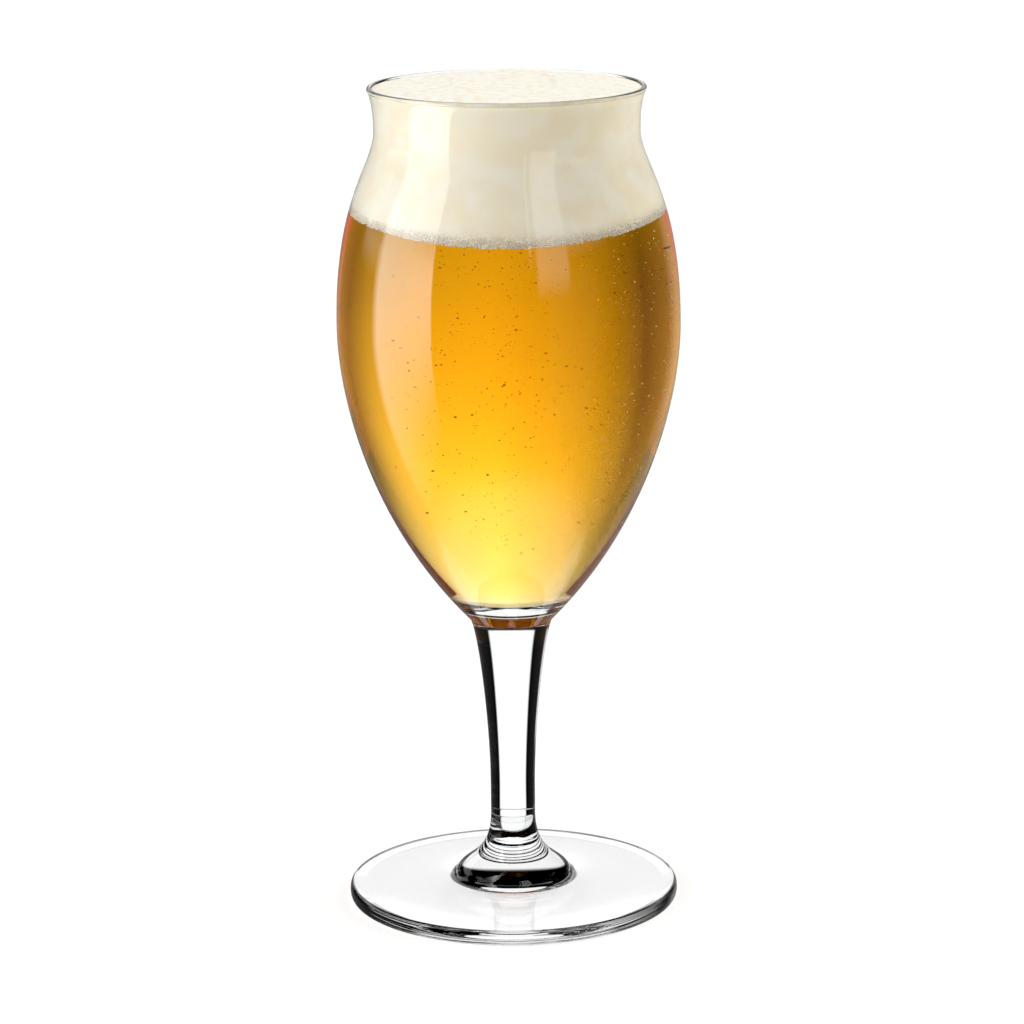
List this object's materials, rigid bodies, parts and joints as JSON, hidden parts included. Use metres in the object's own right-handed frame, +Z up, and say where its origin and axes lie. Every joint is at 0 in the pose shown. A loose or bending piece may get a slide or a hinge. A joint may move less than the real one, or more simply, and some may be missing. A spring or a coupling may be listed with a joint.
{
  "type": "stemmed beer glass",
  "caption": "Stemmed tulip beer glass with a flared lip, solid stem and round foot, filled with clear amber beer under a thick head of cream foam.",
  "frame": {"origin": "on the glass's axis, at the level of the surface that the foot stands on", "axes": "+Z up along the glass's axis of revolution; +X and +Y are any two directions square to it, and the picture looks along +Y"},
  "size_m": [0.0802, 0.0802, 0.195],
  "materials": {
    "clear_glass": "polished",
    "beer": "gloss",
    "foam": "matte"
  },
  "bodies": {
    "root": {"bowl": "clear_glass", "stem": "clear_glass", "foot": "clear_glass", "beer": "beer", "foam_head": "foam"}
  },
  "joints": []
}
